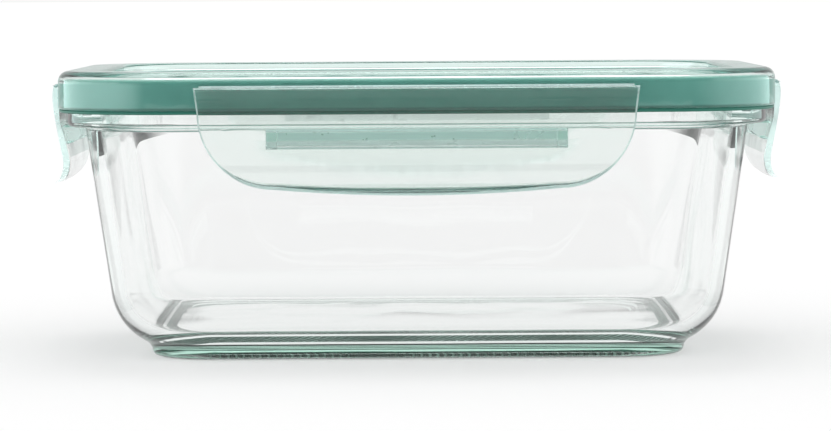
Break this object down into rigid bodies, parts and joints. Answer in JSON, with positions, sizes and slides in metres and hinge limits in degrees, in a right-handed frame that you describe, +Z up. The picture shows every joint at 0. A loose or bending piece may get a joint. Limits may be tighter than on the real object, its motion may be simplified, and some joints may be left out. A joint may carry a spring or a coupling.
{
  "type": "snap lid food container",
  "caption": "Rectangular glass food container with a clear plastic lid, a seal under it, and snap latches that hook under the glass rim.",
  "frame": {"origin": "centre of the foot on the surface it stands on", "axes": "+X along the long side, +Z up out of the dish, front latch at -Y"},
  "size_m": [0.206, 0.155, 0.079],
  "materials": {
    "clear_glass": "clear, pressed, glossy",
    "clear_plastic": "clear, slightly aqua, glossy",
    "teal_silicone": "satin, slightly translucent"
  },
  "bodies": {
    "dish": {"glass_dish": "clear_glass"},
    "lid": {"lid_cover": "clear_plastic", "seal": "teal_silicone", "front_film_hinge": "clear_plastic", "back_film_hinge": "clear_plastic", "left_film_hinge": "clear_plastic", "right_film_hinge": "clear_plastic"},
    "front_latch": {"front_latch": "clear_plastic"},
    "back_latch": {"back_latch": "clear_plastic"},
    "left_latch": {"left_latch": "clear_plastic"},
    "right_latch": {"right_latch": "clear_plastic"}
  },
  "joints": [
    {"name": "lid_lift", "type": "slide", "parent": "dish", "child": "lid", "axis": [0, 0, 1], "range_m": [0, 0.0144]},
    {"name": "front_latch_hinge", "type": "hinge", "parent": "lid", "child": "front_latch", "pos_m": [0, -0.0735, 0.0748], "axis": [-1, 0, 0], "range_deg": [0, 150]},
    {"name": "back_latch_hinge", "type": "hinge", "parent": "lid", "child": "back_latch", "pos_m": [0, 0.0735, 0.0748], "axis": [1, 0, 0], "range_deg": [0, 150]},
    {"name": "left_latch_hinge", "type": "hinge", "parent": "lid", "child": "left_latch", "pos_m": [-0.099, 0, 0.0748], "axis": [0, 1, 0], "range_deg": [0, 150]},
    {"name": "right_latch_hinge", "type": "hinge", "parent": "lid", "child": "right_latch", "pos_m": [0.099, 0, 0.0748], "axis": [0, -1, 0], "range_deg": [0, 150]}
  ],
  "couplings": [
    {"joint": "front_latch_hinge", "follows": "lid_lift", "rad_per_m": 180},
    {"joint": "back_latch_hinge", "follows": "lid_lift", "rad_per_m": 180},
    {"joint": "left_latch_hinge", "follows": "lid_lift", "rad_per_m": 180},
    {"joint": "right_latch_hinge", "follows": "lid_lift", "rad_per_m": 180}
  ]
}
